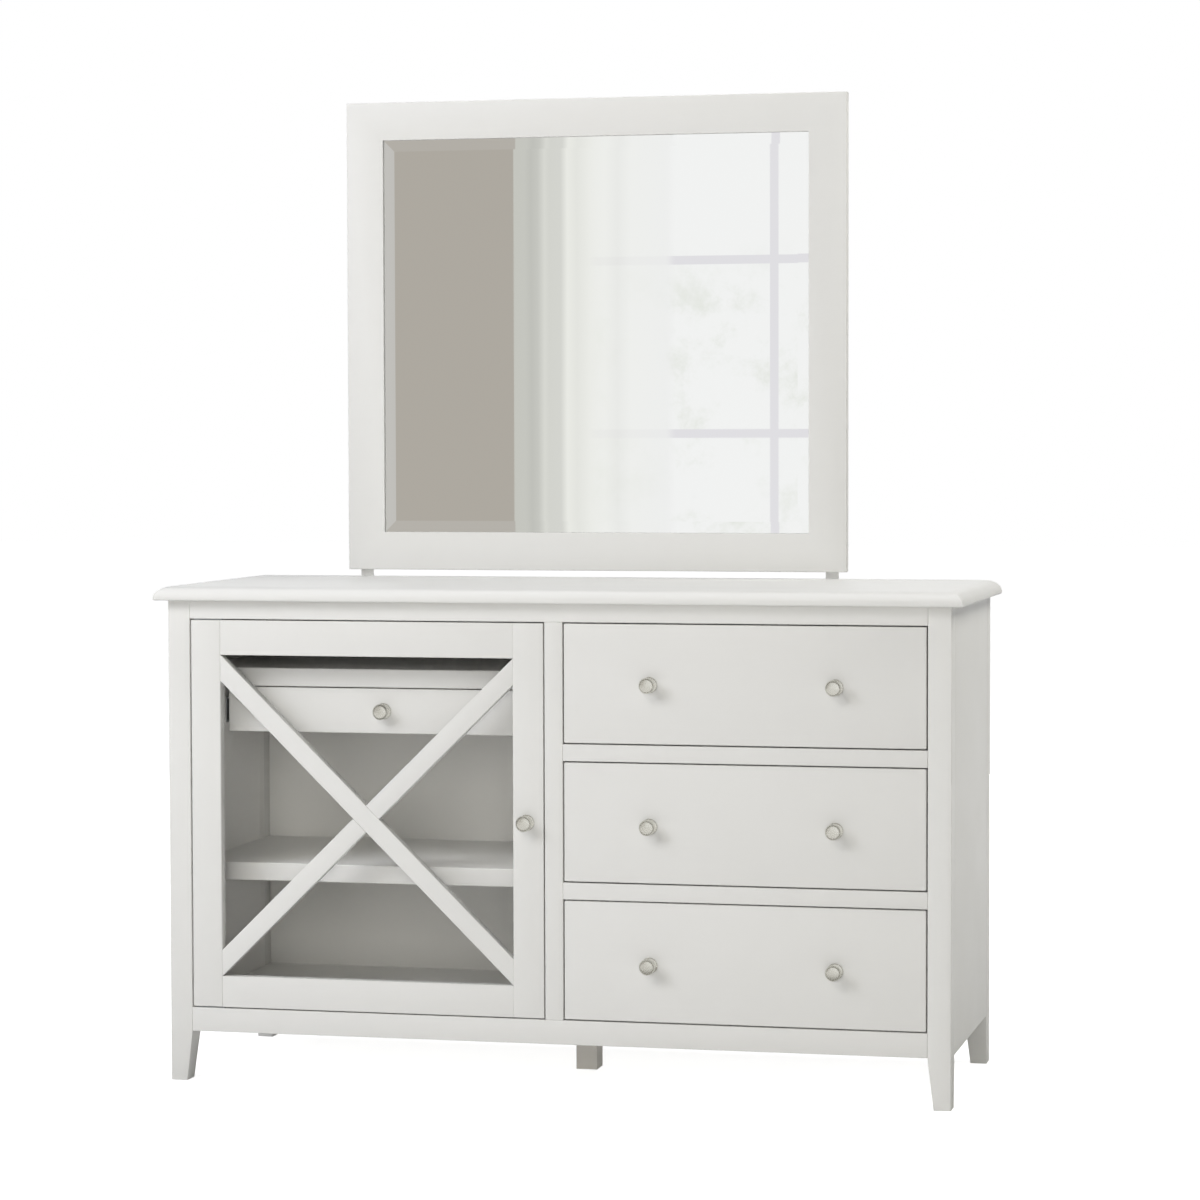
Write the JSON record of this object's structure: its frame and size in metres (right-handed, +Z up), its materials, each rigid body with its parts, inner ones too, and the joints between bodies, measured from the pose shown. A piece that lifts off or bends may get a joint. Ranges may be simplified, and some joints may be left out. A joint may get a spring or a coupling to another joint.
{
  "type": "dresser with mirror",
  "caption": "Painted wooden dresser with a cross-braced door, a stack of wide drawers, round metal knobs and a framed bevelled mirror standing over its top.",
  "frame": {"origin": "centre of the footprint box at floor level", "axes": "+X to the right seen from the front, +Y towards the back, +Z up"},
  "size_m": [1.422, 0.537, 1.7505],
  "materials": {
    "paint": "off-white satin paint on wood",
    "hardboard": "pale painted hardboard",
    "drawer_wood": "pale lacquered wood",
    "nickel": "satin nickel plate",
    "zinc": "zinc-plated steel",
    "white_steel": "white paint on steel",
    "white_plastic": "white moulding",
    "mirror": "silvered bevelled glass"
  },
  "bodies": {
    "case": {"top_board": "paint", "leg_front_left": "paint", "leg_front_right": "paint", "leg_back_left": "paint", "leg_back_right": "paint", "centre_foot": "paint", "side_panel_left": "paint", "side_panel_right": "paint", "centre_partition": "paint", "bottom_board": "paint", "back_panel": "hardboard", "top_rail": "paint", "bottom_rail": "paint", "centre_stile": "paint", "drawer_rail_1": "paint", "drawer_rail_2": "paint", "back_rail": "paint", "fixed_shelf": "paint", "adjustable_shelf": "paint", "drawer_hanger": "paint", "mirror_frame": "paint", "mirror_glass": "mirror", "mirror_back": "hardboard", "mirror_strap_left": "white_steel", "mirror_strap_right": "white_steel", "hinge_lower": "zinc", "hinge_upper": "zinc", "door_catch": "white_plastic", "slide_1_left": "zinc", "slide_1_right": "zinc", "slide_2_left": "zinc", "slide_2_right": "zinc", "slide_3_left": "zinc", "slide_3_right": "zinc"},
    "door": {"door_stile_left": "paint", "door_stile_right": "paint", "door_rail_bottom": "paint", "door_rail_top": "paint", "door_bar_through": "paint", "door_bar_lapped": "paint", "door_knob": "nickel"},
    "drawer_1": {"drawer_1_front": "paint", "drawer_1_box": "drawer_wood", "drawer_1_bottom": "hardboard", "drawer_1_knob_left": "nickel", "drawer_1_knob_right": "nickel"},
    "drawer_2": {"drawer_2_front": "paint", "drawer_2_box": "drawer_wood", "drawer_2_bottom": "hardboard", "drawer_2_knob_left": "nickel", "drawer_2_knob_right": "nickel"},
    "drawer_3": {"drawer_3_front": "paint", "drawer_3_box": "drawer_wood", "drawer_3_bottom": "hardboard", "drawer_3_knob_left": "nickel", "drawer_3_knob_right": "nickel"},
    "inner_drawer": {"inner_drawer_front": "paint", "inner_drawer_box": "drawer_wood", "inner_drawer_bottom": "hardboard", "inner_drawer_knob": "nickel"}
  },
  "joints": [
    {"name": "door_hinge", "type": "hinge", "parent": "case", "child": "door", "pos_m": [-0.6378, -0.2365, 0.472], "axis": [0, 0, -1], "range_deg": [0, 110]},
    {"name": "drawer_1_slide", "type": "slide", "parent": "case", "child": "drawer_1", "axis": [0, -1, 0], "range_m": [0, 0.3]},
    {"name": "drawer_2_slide", "type": "slide", "parent": "case", "child": "drawer_2", "axis": [0, -1, 0], "range_m": [0, 0.3]},
    {"name": "drawer_3_slide", "type": "slide", "parent": "case", "child": "drawer_3", "axis": [0, -1, 0], "range_m": [0, 0.3]},
    {"name": "inner_drawer_slide", "type": "slide", "parent": "case", "child": "inner_drawer", "axis": [0, -1, 0], "range_m": [0, 0.155]}
  ],
  "couplings": [
    {"joint": "inner_drawer_slide", "follows": "door_hinge", "m_per_rad": 0.08}
  ]
}
